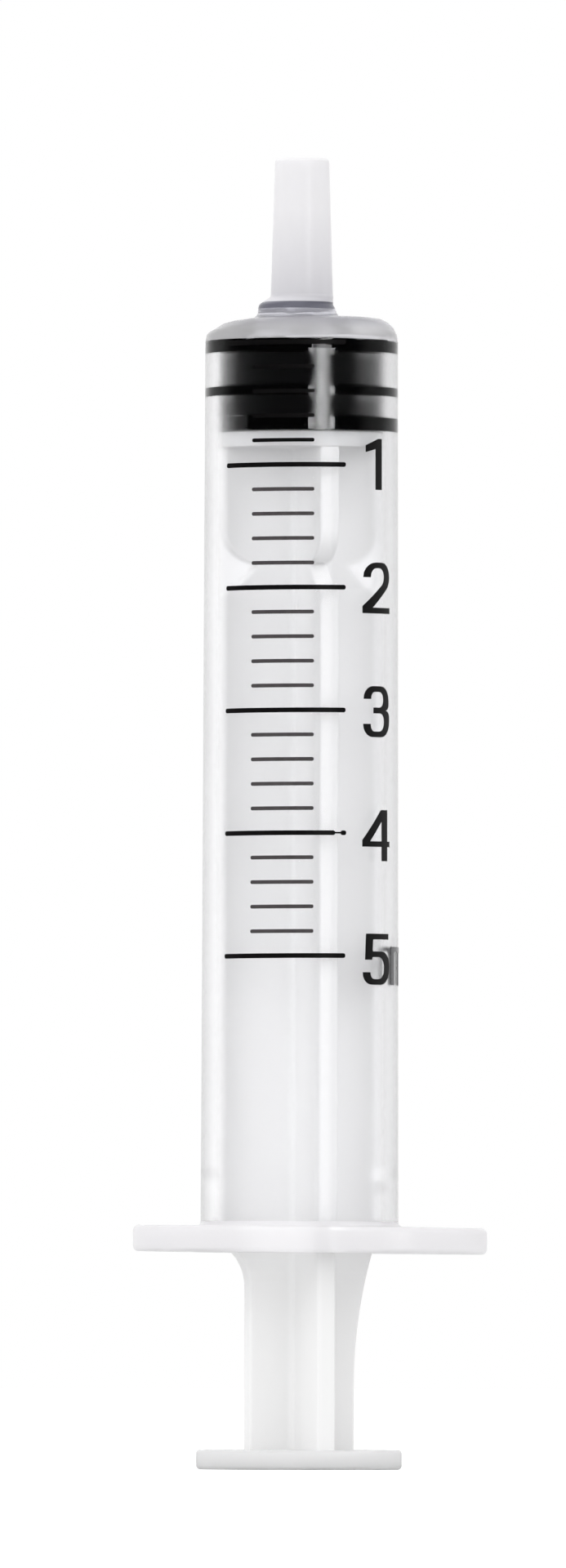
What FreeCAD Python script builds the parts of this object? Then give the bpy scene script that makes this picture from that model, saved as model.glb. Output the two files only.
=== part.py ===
"""Five millilitre luer slip syringe, standing on its thumb rest with the nozzle up.

Four pieces: the moulded barrel, the moulded plunger rod, the rubber gasket and the printed scale.
Millimetres, +Z towards the nozzle, origin at the centre of the thumb rest's outer face.
The scale is printed on the -Y side, and the finger flange is longest along X.
"""

import FreeCAD
import Part
import math
import os

# Heights along the axis, from the thumb rest's outer face at 0
FLANGE_BOTTOM = 15.65
FLANGE_THICKNESS = 1.9
RETAINER_BOTTOM = 20.2
RETAINER_TOP = 21.3
SHOULDER_TOP = 83.2
BORE_END = 81.75
OVERALL_LENGTH = 94.75

# Barrel tube, one polypropylene moulding with a little draft along its outside
BORE_RADIUS = 6.0
BORE_MOUTH_CHAMFER = 0.35
TUBE_RADIUS_AT_FLANGE = 7.14
TUBE_RADIUS_AT_SHOULDER = 6.96
SHOULDER_ROUNDING = 1.7
END_CONE_RISE = 0.5
RETAINER_HEIGHT = 0.1
RETAINER_RAMP = 0.3

# Finger flange: an oval plate with straight long sides, longer on the right
FLANGE_REACH_LEFT = 12.1
FLANGE_REACH_RIGHT = 13.65
FLANGE_HALF_DEPTH = 8.2
FLANGE_EDGE_CHAMFER = 0.25

# Nozzle, a 6 percent male luer taper measured 0.75 below its tip, on a hub a little to one side
LUER_GAUGE_RADIUS = 1.975
LUER_GAUGE_DEPTH = 0.75
LUER_TAPER = 0.06
LUER_TIP_CHAMFER = 0.2
NOZZLE_BOTTOM = 84.75
NOZZLE_ROOT_DEPTH = 0.5
HUB_ROOT_DEPTH = 0.4
HUB_BOTTOM_RADIUS = 3.07
HUB_BOTTOM_OFFSET = -0.25
HUB_TOP = 84.2
HUB_TOP_RADIUS = 2.68
HUB_TOP_OFFSET = -0.45
CHANNEL_RADIUS = 0.9

# Gasket: three sealing ribs round a waist, with a cavity that the rod's head snaps into
SEAL_CLEARANCE = 0.02
FRONT_CLEARANCE = 0.05
GASKET_WAIST_RADIUS = 4.66
GASKET_BACK = 74.9
REAR_RIB_HEIGHT = 0.95
MIDDLE_RIB_CENTRE = 77.8
MIDDLE_RIB_TIP = 0.36
MIDDLE_RIB_SLOPE = 0.75
FRONT_RIB_HEIGHT = 1.1

# Plunger rod: four ribs, thumb rest, front disc, snap-in head and a break-off notch
THUMB_REST_RADIUS = 7.43
THUMB_REST_THICKNESS = 1.42
THUMB_REST_CHAMFER = 0.2
GRIP_GROOVE_RADII = (2.2, 3.9, 5.6)
GRIP_GROOVE_WIDTH = 0.7
GRIP_GROOVE_DEPTH = 0.25
RIB_THICKNESS = 1.4
RIB_ROOT_ROUNDING = 0.5
RIB_CORNER_CLEARANCE = 0.16
STEM_HALF_WIDTH = 4.03
LEFT_ARC_START = 13.13
LEFT_ARC_RADIUS = 3.6
RIGHT_ARC_START = 6.05
RIGHT_ARC_RADIUS = 34.2
NOTCH_BOTTOM = 63.7
NOTCH_TOP = 65.35
NOTCH_HALF_WIDTH = 3.4
NOTCH_UPPER_ROUNDING = 2.4
NOTCH_LOWER_ROUNDING = 0.9
DISC_BOTTOM = 73.7
DISC_OVERLAP = 0.5
DISC_CLEARANCE = 0.05
DISC_TO_GASKET = 0.05
HEAD_NECK_RADIUS = 2.1
HEAD_NECK_LENGTH = 1.5
HEAD_RADIUS = 2.9
HEAD_UNDERSIDE_RISE = 0.4
HEAD_RIM_HEIGHT = 0.6
HEAD_TOP = 79.7
HEAD_TIP_RADIUS = 1.6
HEAD_CLEARANCE = 0.05
ROD_TURN = 31.4

# Printed scale: one mark every 0.2 ml, long at each whole millilitre
MARK_COUNT = 26
MARKS_PER_ML = 5
ZERO_MARK = 81.4
MARK_HALF_ANGLE = 18.9
LONG_MARK_HALF_ANGLE = 38.3
MARK_HEIGHT = 0.24
LONG_MARK_HEIGHT = 0.3
INK_THICKNESS = 0.05

ML_LENGTH = 1000 / (math.pi * BORE_RADIUS ** 2)
ORIGIN = FreeCAD.Vector(0, 0, 0)
UP = FreeCAD.Vector(0, 0, 1)
FLANGE_TOP = FLANGE_BOTTOM + FLANGE_THICKNESS
GASKET_TOP = BORE_END - FRONT_CLEARANCE
LIP_RADIUS = BORE_RADIUS - SEAL_CLEARANCE
RIB_REACH = math.sqrt((BORE_RADIUS - RIB_CORNER_CLEARANCE) ** 2 - (RIB_THICKNESS / 2) ** 2)
DISC_RADIUS = BORE_RADIUS - DISC_CLEARANCE
DISC_TOP = GASKET_BACK - DISC_TO_GASKET


def xz(x, z):
    """A point in the plane through the axis."""
    return FreeCAD.Vector(x, 0, z)


def face_of(corners):
    """A flat face in the XZ plane from (x, z) or (x, z, rounding) corners."""
    points = [xz(c[0], c[1]) for c in corners]
    starts, ends, arcs = [], [], []
    for i, corner in enumerate(corners):
        rounding = corner[2] if len(corner) == 3 else 0
        before = (points[i - 1] - points[i]).normalize()
        after = (points[(i + 1) % len(points)] - points[i]).normalize()
        if not rounding:
            starts.append(points[i])
            ends.append(points[i])
            arcs.append(None)
            continue
        half_angle = before.getAngle(after) / 2
        inward = (before + after).normalize()
        reach = rounding / math.tan(half_angle)
        middle = points[i] + inward * (rounding / math.sin(half_angle) - rounding)
        starts.append(points[i] + before * reach)
        ends.append(points[i] + after * reach)
        arcs.append(Part.Arc(starts[i], middle, ends[i]).toShape())
    edges = []
    for i, arc in enumerate(arcs):
        if arc:
            edges.append(arc)
        following = starts[(i + 1) % len(starts)]
        if ends[i].distanceToPoint(following) > 1e-6:
            edges.append(Part.makeLine(ends[i], following))
    return Part.Face(Part.Wire(edges))


def turned(corners):
    """A solid of revolution about Z from a closed (radius, z) outline."""
    return face_of(corners).revolve(ORIGIN, UP, 360)


def tube_radius(z):
    """The barrel's outside radius at a height, drafted from the flange to the shoulder."""
    share = (z - FLANGE_TOP) / (SHOULDER_TOP - FLANGE_TOP)
    return TUBE_RADIUS_AT_FLANGE + share * (TUBE_RADIUS_AT_SHOULDER - TUBE_RADIUS_AT_FLANGE)


def luer_radius(z):
    """The nozzle's radius at a height; the taper is a change of diameter along the length."""
    return LUER_GAUGE_RADIUS + (OVERALL_LENGTH - LUER_GAUGE_DEPTH - z) * LUER_TAPER / 2


def flange():
    """The finger flange, an oval with straight long sides and chamfered edges."""
    left = FLANGE_REACH_LEFT - FLANGE_HALF_DEPTH
    right = FLANGE_REACH_RIGHT - FLANGE_HALF_DEPTH
    depth = FLANGE_HALF_DEPTH

    def at(x, y):
        return FreeCAD.Vector(x, y, FLANGE_BOTTOM)

    outline = Part.Wire([
        Part.makeLine(at(-left, -depth), at(right, -depth)),
        Part.Arc(at(right, -depth), at(right + depth, 0), at(right, depth)).toShape(),
        Part.makeLine(at(right, depth), at(-left, depth)),
        Part.Arc(at(-left, depth), at(-left - depth, 0), at(-left, -depth)).toShape(),
    ])
    plate = Part.Face(outline).extrude(UP * FLANGE_THICKNESS)
    rims = [e for e in plate.Edges if abs(e.BoundBox.ZLength) < 1e-6]
    return plate.makeChamfer(FLANGE_EDGE_CHAMFER, rims)


def hub():
    """The low hub under the nozzle, a leaning cone with a chamfered top."""
    rings = (
        (SHOULDER_TOP - HUB_ROOT_DEPTH, HUB_BOTTOM_RADIUS, HUB_BOTTOM_OFFSET),
        (HUB_TOP, HUB_TOP_RADIUS, HUB_TOP_OFFSET),
        (NOZZLE_BOTTOM, luer_radius(NOZZLE_BOTTOM), 0),
    )
    wires = [
        Part.Wire(Part.makeCircle(radius, FreeCAD.Vector(offset, 0, z), UP))
        for z, radius, offset in rings
    ]
    return Part.makeLoft(wires, True, True)


def barrel():
    """The barrel: tube, flange, shoulder, hub and nozzle in one moulding."""
    tube_start = FLANGE_BOTTOM + FLANGE_THICKNESS / 2
    outside = turned([
        (0, tube_start),
        (tube_radius(tube_start), tube_start),
        (tube_radius(SHOULDER_TOP), SHOULDER_TOP, SHOULDER_ROUNDING),
        (0, SHOULDER_TOP),
    ])
    nozzle_root = HUB_TOP - NOZZLE_ROOT_DEPTH
    nozzle = turned([
        (0, nozzle_root),
        (luer_radius(nozzle_root), nozzle_root),
        (luer_radius(OVERALL_LENGTH), OVERALL_LENGTH - LUER_TIP_CHAMFER),
        (luer_radius(OVERALL_LENGTH) - LUER_TIP_CHAMFER, OVERALL_LENGTH),
        (0, OVERALL_LENGTH),
    ])
    ring_radius = BORE_RADIUS - RETAINER_HEIGHT
    bore = turned([
        (0, FLANGE_BOTTOM - 1),
        (BORE_RADIUS + BORE_MOUTH_CHAMFER + 1, FLANGE_BOTTOM - 1),
        (BORE_RADIUS, FLANGE_BOTTOM + BORE_MOUTH_CHAMFER),
        (BORE_RADIUS, RETAINER_BOTTOM),
        (ring_radius, RETAINER_BOTTOM + RETAINER_RAMP),
        (ring_radius, RETAINER_TOP - RETAINER_RAMP),
        (BORE_RADIUS, RETAINER_TOP),
        (BORE_RADIUS, BORE_END),
        (CHANNEL_RADIUS, BORE_END + END_CONE_RISE),
        (CHANNEL_RADIUS, OVERALL_LENGTH + 1),
        (0, OVERALL_LENGTH + 1),
    ])
    return outside.fuse([flange(), hub(), nozzle]).cut(bore).removeSplitter()


def rod_head(grown, bottom):
    """The rod's snap-in head, or the gasket's cavity for it when grown by the clearance."""
    under = DISC_TOP + HEAD_NECK_LENGTH
    rim = under + HEAD_UNDERSIDE_RISE
    return turned([
        (0, bottom),
        (HEAD_NECK_RADIUS + grown, bottom),
        (HEAD_NECK_RADIUS + grown, under - grown),
        (HEAD_RADIUS + grown, rim - grown),
        (HEAD_RADIUS + grown, rim + HEAD_RIM_HEIGHT + grown),
        (HEAD_TIP_RADIUS + grown, HEAD_TOP + grown),
        (0, HEAD_TOP + grown),
    ])


def gasket():
    """The rubber gasket: sealing ribs outside, snap-in cavity inside, a shallow cone in front."""
    front = GASKET_TOP
    tip_low = MIDDLE_RIB_CENTRE - MIDDLE_RIB_TIP / 2
    tip_high = MIDDLE_RIB_CENTRE + MIDDLE_RIB_TIP / 2
    rear = GASKET_BACK + REAR_RIB_HEIGHT
    outside = turned([
        (0, GASKET_BACK),
        (LIP_RADIUS, GASKET_BACK),
        (LIP_RADIUS, rear),
        (GASKET_WAIST_RADIUS, rear),
        (GASKET_WAIST_RADIUS, tip_low - MIDDLE_RIB_SLOPE),
        (LIP_RADIUS, tip_low),
        (LIP_RADIUS, tip_high),
        (GASKET_WAIST_RADIUS, tip_high + MIDDLE_RIB_SLOPE),
        (GASKET_WAIST_RADIUS, front - FRONT_RIB_HEIGHT),
        (LIP_RADIUS, front - FRONT_RIB_HEIGHT),
        (LIP_RADIUS, front),
        (CHANNEL_RADIUS, front + END_CONE_RISE),
        (0, front + END_CONE_RISE),
    ])
    cavity = rod_head(HEAD_CLEARANCE, GASKET_BACK - 1)
    return outside.cut(cavity)


def narrowing_end(start, radius):
    """The height at which an arc that leaves the stem reaches the full rib width."""
    step = RIB_REACH - STEM_HALF_WIDTH
    return start + math.sqrt(2 * radius * step - step * step)


def stem_cut(side, start, radius):
    """The area taken from one side rib (-1 left, 1 right), up to an arc tangent to the stem."""
    end = narrowing_end(start, radius)
    inner = side * STEM_HALF_WIDTH
    outer = side * (RIB_REACH + 1)
    edge = side * RIB_REACH
    half_sweep = math.asin((end - start) / radius) / 2
    middle = xz(
        inner + side * radius * (1 - math.cos(half_sweep)),
        start + radius * math.sin(half_sweep),
    )
    return Part.Face(Part.Wire([
        Part.makeLine(xz(outer, 0), xz(inner, 0)),
        Part.makeLine(xz(inner, 0), xz(inner, start)),
        Part.Arc(xz(inner, start), middle, xz(edge, end)).toShape(),
        Part.makeLine(xz(edge, end), xz(outer, end)),
        Part.makeLine(xz(outer, end), xz(outer, 0)),
    ]))


def rib_pair_face():
    """Outline of two opposite ribs, full width from the thumb rest to the disc but for the notch."""
    foot = THUMB_REST_THICKNESS / 2
    top = DISC_BOTTOM + DISC_OVERLAP
    return face_of([
        (-RIB_REACH, foot),
        (RIB_REACH, foot),
        (RIB_REACH, NOTCH_BOTTOM, NOTCH_LOWER_ROUNDING),
        (NOTCH_HALF_WIDTH, NOTCH_BOTTOM),
        (NOTCH_HALF_WIDTH, NOTCH_TOP),
        (RIB_REACH, NOTCH_TOP, NOTCH_UPPER_ROUNDING),
        (RIB_REACH, top),
        (-RIB_REACH, top),
        (-RIB_REACH, NOTCH_TOP, NOTCH_UPPER_ROUNDING),
        (-NOTCH_HALF_WIDTH, NOTCH_TOP),
        (-NOTCH_HALF_WIDTH, NOTCH_BOTTOM),
        (-RIB_REACH, NOTCH_BOTTOM, NOTCH_LOWER_ROUNDING),
    ])


def rib_plate(face):
    """Two opposite ribs from their outline, centred on the axis."""
    plate = face.extrude(FreeCAD.Vector(0, RIB_THICKNESS, 0))
    plate.translate(FreeCAD.Vector(0, -RIB_THICKNESS / 2, 0))
    return plate


def rib_roots():
    """The core where the ribs cross, with its four hollow corners."""
    half = RIB_THICKNESS / 2 + RIB_ROOT_ROUNDING
    foot = THUMB_REST_THICKNESS / 2
    length = DISC_BOTTOM + DISC_OVERLAP - foot
    core = Part.makeBox(2 * half, 2 * half, length, FreeCAD.Vector(-half, -half, foot))
    hollows = [
        Part.makeCylinder(RIB_ROOT_ROUNDING, length, FreeCAD.Vector(x, y, foot))
        for x in (-half, half)
        for y in (-half, half)
    ]
    return core.cut(hollows)


def thumb_rest():
    """The round thumb rest, with ring grooves for grip in its outer face."""
    rim = THUMB_REST_RADIUS - THUMB_REST_CHAMFER
    plate = turned([
        (0, 0),
        (rim, 0),
        (THUMB_REST_RADIUS, THUMB_REST_CHAMFER),
        (THUMB_REST_RADIUS, THUMB_REST_THICKNESS - THUMB_REST_CHAMFER),
        (rim, THUMB_REST_THICKNESS),
        (0, THUMB_REST_THICKNESS),
    ])
    half = GRIP_GROOVE_WIDTH / 2
    grooves = [
        turned([
            (radius - half, -1),
            (radius + half, -1),
            (radius + half, GRIP_GROOVE_DEPTH),
            (radius - half, GRIP_GROOVE_DEPTH),
        ])
        for radius in GRIP_GROOVE_RADII
    ]
    return plate.cut(grooves)


def plunger_rod():
    """The plunger rod: thumb rest, four ribs, front disc and snap-in head in one moulding."""
    side_face = rib_pair_face().cut([
        stem_cut(-1, LEFT_ARC_START, LEFT_ARC_RADIUS),
        stem_cut(1, RIGHT_ARC_START, RIGHT_ARC_RADIUS),
    ])
    side_ribs = rib_plate(side_face.Faces[0])
    cross_ribs = rib_plate(rib_pair_face())
    cross_ribs.rotate(ORIGIN, UP, 90)
    disc = turned([
        (0, DISC_BOTTOM),
        (DISC_RADIUS, DISC_BOTTOM),
        (DISC_RADIUS, DISC_TOP),
        (0, DISC_TOP),
    ])
    head = rod_head(0, DISC_TOP - DISC_OVERLAP)
    moulding = side_ribs.fuse([cross_ribs, rib_roots(), thumb_rest(), disc, head])
    moulding = moulding.removeSplitter()
    moulding.rotate(ORIGIN, UP, ROD_TURN)
    return moulding


def mark(z, height, half_angle):
    """One printed mark, a thin strip lying round the tube and centred on -Y."""
    low, high = z - height / 2, z + height / 2
    section = face_of([
        (tube_radius(low), low),
        (tube_radius(low) + INK_THICKNESS, low),
        (tube_radius(high) + INK_THICKNESS, high),
        (tube_radius(high), high),
    ])
    strip = section.revolve(ORIGIN, UP, 2 * half_angle)
    strip.rotate(ORIGIN, UP, -90 - half_angle)
    return strip


def scale_print():
    """All the scale's marks, long ones at whole millilitres."""
    marks = []
    for i in range(MARK_COUNT):
        z = ZERO_MARK - i * ML_LENGTH / MARKS_PER_ML
        if i % MARKS_PER_ML == 0:
            marks.append(mark(z, LONG_MARK_HEIGHT, LONG_MARK_HALF_ANGLE))
        else:
            marks.append(mark(z, MARK_HEIGHT, MARK_HALF_ANGLE))
    return Part.makeCompound(marks)


PIECES = {
    "barrel": barrel,
    "plunger_rod": plunger_rod,
    "gasket": gasket,
    "scale_print": scale_print,
}

if __name__ == "__main__":
    os.makedirs("parts", exist_ok=True)
    for name, make in PIECES.items():
        make().exportStep(os.path.join("parts", name + ".step"))
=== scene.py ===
"""A 5 ml luer slip syringe: clear barrel, milky plunger rod, black gasket and black printed scale.

The syringe stands on its thumb rest with the plunger pushed fully in. The sizes in the classes are
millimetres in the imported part's own frame, and each mesh is built in place, in metres.
"""

from __future__ import annotations

import logging
import math
from dataclasses import dataclass, field
from enum import Enum, IntEnum
from typing import Mapping, Sequence

import bmesh
import bpy
from mathutils import Matrix, Vector

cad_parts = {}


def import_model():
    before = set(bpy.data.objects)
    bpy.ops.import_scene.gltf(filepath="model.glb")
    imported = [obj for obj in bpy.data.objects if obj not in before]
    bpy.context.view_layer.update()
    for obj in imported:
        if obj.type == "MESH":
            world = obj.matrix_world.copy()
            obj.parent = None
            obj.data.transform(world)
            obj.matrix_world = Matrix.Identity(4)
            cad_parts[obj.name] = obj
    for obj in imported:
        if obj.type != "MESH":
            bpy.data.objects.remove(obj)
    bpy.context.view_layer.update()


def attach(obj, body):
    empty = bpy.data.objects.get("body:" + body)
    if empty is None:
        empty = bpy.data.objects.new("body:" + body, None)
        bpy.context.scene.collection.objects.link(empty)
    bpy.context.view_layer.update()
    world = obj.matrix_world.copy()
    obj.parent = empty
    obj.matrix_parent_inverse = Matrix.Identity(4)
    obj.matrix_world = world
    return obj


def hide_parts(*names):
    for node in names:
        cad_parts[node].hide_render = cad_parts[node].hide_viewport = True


LOG = logging.getLogger("syringe")
MM = 0.001
WELD = 0.0005 * MM
ROUNDING_STEPS = 5
SHARP_DEGREES = 40.0
BORE_RADIUS = 6.0
FLANGE_TOP = 17.55
SHOULDER_TOP = 83.2
WHITE = (1.0, 1.0, 1.0, 1.0)
Mesh = bmesh.types.BMesh
Socket = bpy.types.NodeSocket
Tree = bpy.types.NodeTree
# A corner's distance from the axis or from the left, its height and its rounding.
Corner = tuple[float, float, float]
# The outlines of the printed figures and letters, from the lower left corner of a figure's box.
GLYPHS: dict[str, tuple[tuple[Corner, ...], ...]] = {
    "1": ((
        (2.04, 0, 0), (2.04, 3.68, 0), (1.6, 3.68, 0), (0.3, 3.2, 0), (0.3, 2.7, 0),
        (1.32, 2.94, 0), (1.32, 0, 0),
    ),),
    "2": ((
        (0, 0, 0), (3.15, 0, 0), (3.15, 0.42, 0), (1.0, 0.42, 0), (3.1, 2.1, 0.5),
        (3.1, 3.68, 1.05), (0.08, 3.68, 1.3), (0.08, 2.6, 0), (0.8, 2.6, 0), (0.8, 3.27, 0.62),
        (2.36, 3.27, 0.6), (2.36, 2.25, 0.32), (0, 0.52, 0),
    ),),
    "3": ((
        (0.08, 0.95, 0), (0.08, 0, 0.9), (3.1, 0, 1.15), (3.1, 1.85, 0.42), (2.55, 1.93, 0),
        (3.0, 2.01, 0.34), (3.0, 3.68, 1.05), (0.12, 3.68, 0.9), (0.12, 2.75, 0),
        (0.84, 2.75, 0), (0.84, 3.27, 0.42), (2.27, 3.27, 0.52), (2.27, 2.14, 0.5),
        (1.1, 2.14, 0), (1.1, 1.72, 0), (2.37, 1.72, 0.52), (2.37, 0.41, 0.62),
        (0.8, 0.41, 0.42), (0.8, 0.95, 0),
    ),),
    "4": (
        (
            (2.06, 0, 0), (2.8, 0, 0), (2.8, 1.02, 0), (3.15, 1.02, 0), (3.15, 1.42, 0),
            (2.8, 1.42, 0), (2.8, 3.68, 0), (1.96, 3.68, 0), (0, 1.5, 0), (0, 1.02, 0),
            (2.06, 1.02, 0),
        ),
        ((0.74, 1.42, 0), (2.06, 1.42, 0), (2.06, 2.9, 0)),
    ),
    "5": ((
        (0.36, 3.68, 0), (2.98, 3.68, 0), (2.98, 3.27, 0), (1.06, 3.27, 0), (1.0, 2.4, 0.1),
        (3.12, 2.4, 1.05), (3.12, 0, 1.2), (0.05, 0, 0.85), (0.05, 0.9, 0), (0.78, 0.9, 0),
        (0.78, 0.41, 0.42), (2.38, 0.41, 0.68), (2.38, 2.0, 0.68), (0.96, 2.0, 0.12),
        (0.96, 1.8, 0), (0.27, 1.8, 0),
    ),),
    "m": ((
        (0, 0, 0), (0, 2.76, 0), (3.9, 2.76, 0.9), (3.9, 0, 0), (3.3, 0, 0), (3.3, 2.43, 0.35),
        (2.25, 2.43, 0), (2.25, 0, 0), (1.65, 0, 0), (1.65, 2.43, 0.3), (0.6, 2.43, 0.15),
        (0.6, 0, 0),
    ),),
    "l": (((4.6, 0, 0), (5.2, 0, 0), (5.2, 3.68, 0), (4.6, 3.68, 0)),),
}


class Body(Enum):
    """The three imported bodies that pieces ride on."""

    BARREL = "barrel"
    GASKET = "gasket"
    PLUNGER = "plunger"


class BarrelZone(IntEnum):
    """The barrel's zones, in the order of its materials."""

    WALL = 0
    END = 1
    THICK = 2
    NOZZLE = 3
    # The dark band round the nozzle's foot, which is painted shade.
    FOOT = 4
    BORE = 5


class GasketZone(IntEnum):
    """The gasket's zones, in the order of its materials."""

    FREE = 0
    PRESSED = 1


class RodZone(IntEnum):
    """The plunger rod's zones, in the order of its materials."""

    RIBS = 0
    REST = 1
    DISC = 2


class Ink(IntEnum):
    """The inks of the marks, in the order of their materials."""

    BLACK = 0
    THIN = 1


class Rib(Enum):
    """The plunger rod's four ribs, by direction before the rod is turned."""

    RIGHT = (1, 0)
    LEFT = (-1, 0)
    BACK = (0, 1)
    FRONT = (0, -1)


def linear_colour(hex_code: str) -> tuple[float, float, float, float]:
    """Turns an sRGB hex value into the linear colour that shaders use.

    Args:
        hex_code: Six hex digits after a hash.

    Returns:
        Red, green, blue and an alpha of 1.
    """
    channels = []
    for start in (1, 3, 5):
        value = int(hex_code[start:start + 2], 16) / 255
        channels.append(value / 12.92 if value <= 0.04045 else ((value + 0.055) / 1.055) ** 2.4)
    return channels[0], channels[1], channels[2], 1.0


def add_node(
    tree: Tree,
    kind: str,
    settings: Mapping[str, object] | None = None,
    inputs: Mapping[str | int, object] | None = None,
) -> bpy.types.Node:
    """Adds a node with its settings, and fills or links its sockets.

    Args:
        tree: The node tree that gets the node.
        kind: The node's type name.
        settings: Properties of the node itself.
        inputs: Socket name or number, with a value or an output socket to link.

    Returns:
        The new node.
    """
    node = tree.nodes.new(kind)
    for name, value in (settings or {}).items():
        setattr(node, name, value)
    for key, value in (inputs or {}).items():
        if isinstance(value, Socket):
            tree.links.new(value, node.inputs[key])
        else:
            node.inputs[key].default_value = value
    return node


def empty_material(name: str) -> bpy.types.Material:
    """Makes a material with an empty node tree."""
    material = bpy.data.materials.new(name)
    material.use_nodes = True
    material.node_tree.nodes.clear()
    return material


def clouded(
    tree: Tree, place: Socket, size_mm: float, detail: float, tones: tuple[str, str],
) -> tuple[Socket, Socket]:
    """Lets a colour drift between two tones in soft clouds.

    Args:
        tree: The material's nodes.
        place: Coordinates that the clouds sit on.
        size_mm: Size of a cloud in millimetres.
        detail: How finely the clouds break up.
        tones: The two tones, as hex values.

    Returns:
        The colour, and the clouds from 0 to 1.
    """
    clouds = add_node(tree, "ShaderNodeTexNoise", inputs={
        "Vector": place, "Scale": 1 / (size_mm * MM), "Detail": detail,
    })
    tone = add_node(tree, "ShaderNodeMix", {"data_type": "RGBA"}, {
        0: clouds.outputs["Fac"], 6: linear_colour(tones[0]), 7: linear_colour(tones[1]),
    })
    return tone.outputs[2], clouds.outputs["Fac"]


@dataclass(frozen=True)
class Finish:
    """What all finishes share: a name, and patterns that stay in place on the piece."""

    name: str

    def surface(self, tree: Tree, place: Socket) -> bpy.types.Node:
        """Adds the finish's shader; each finish has its own.

        Args:
            tree: The material's nodes.
            place: The piece's coordinates.

        Returns:
            The shader node.
        """
        raise NotImplementedError

    def material(self) -> bpy.types.Material:
        """Gives the finish's material, built on Object coordinates at its first use.

        Returns:
            The same material for every piece with this finish.
        """
        known = bpy.data.materials.get(self.name)
        if known:
            return known
        material = empty_material(self.name)
        tree = material.node_tree
        place = add_node(tree, "ShaderNodeTexCoord").outputs["Object"]
        shader = self.surface(tree, place)
        add_node(tree, "ShaderNodeOutputMaterial", inputs={"Surface": shader.outputs["BSDF"]})
        return material


@dataclass(frozen=True)
class ClarifiedPolypropylene(Finish):
    """Clarified polypropylene, injection moulded in a polished tool.

    It gives the eye a clear wall with a slight haze: what touches it stays sharp and what stands
    behind it goes soft. Where it is thick, as in the nozzle and the flange, the same plastic
    turns milky, so the thick places have a small clear share and a higher roughness. The skin's
    tint is the strength of its straight-on mirror image: none on the bore, which oil wets.
    """

    name: str = "clarified_polypropylene"
    colour: str = "#FEFEFF"
    ior: float = 1.49
    clear_share: float = 1.0
    roughness: float = 0.17
    roughness_drift: float = 0.02
    scatter_mm: float = 0.8
    flow_mm: float = 9.0
    flow_depth_mm: float = 0.01
    skin_tint: float = 1.0
    # shade and its span of heights give a painted shade: the colour greys towards the first height
    # of the span.
    shade: str | None = None
    shade_range_mm: tuple[float, float] = (0.0, 1.0)

    def tone(self, tree: Tree, place: Socket) -> Socket | tuple[float, float, float, float]:
        """Gives the plastic's colour, with a painted shade that greys it towards one end of a span
        of heights.

        Args:
            tree: The material's nodes.
            place: The piece's coordinates.

        Returns:
            A plain colour, or the socket that carries the painted shade.
        """
        if self.shade is None:
            return linear_colour(self.colour)
        axes = add_node(tree, "ShaderNodeSeparateXYZ", inputs={0: place})
        start, end = self.shade_range_mm
        rise = add_node(tree, "ShaderNodeMapRange", inputs={
            "Value": axes.outputs["Z"], "From Min": start * MM, "From Max": end * MM,
        })
        return add_node(tree, "ShaderNodeMix", {"data_type": "RGBA"}, {
            0: rise.outputs["Result"],
            6: linear_colour(self.shade),
            7: linear_colour(self.colour),
        }).outputs[2]

    def surface(self, tree: Tree, place: Socket) -> bpy.types.Node:
        """Adds the shader, with the faint waves that flowing melt leaves in a wall.

        Args:
            tree: The material's nodes.
            place: The piece's coordinates.

        Returns:
            The shader node.
        """
        waves = add_node(tree, "ShaderNodeTexNoise", inputs={
            "Vector": place, "Scale": 1 / (self.flow_mm * MM), "Detail": 2.0, "Roughness": 0.4,
        })
        bump = add_node(tree, "ShaderNodeBump", inputs={
            "Strength": 0.5,
            "Distance": self.flow_depth_mm * MM,
            "Height": waves.outputs["Fac"],
        })
        haze = add_node(tree, "ShaderNodeMapRange", inputs={
            "Value": waves.outputs["Fac"],
            "To Min": self.roughness - self.roughness_drift,
            "To Max": self.roughness + self.roughness_drift,
        })
        return add_node(tree, "ShaderNodeBsdfPrincipled", inputs={
            "Base Color": self.tone(tree, place),
            "Roughness": haze.outputs["Result"],
            "IOR": self.ior,
            "Transmission Weight": self.clear_share,
            "Specular Tint": (self.skin_tint, self.skin_tint, self.skin_tint, 1.0),
            "Subsurface Weight": 0.5,
            "Subsurface Scale": self.scatter_mm * MM,
            "Subsurface Radius": (1.0, 1.0, 1.0),
            "Normal": bump.outputs["Normal"],
        })


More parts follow.
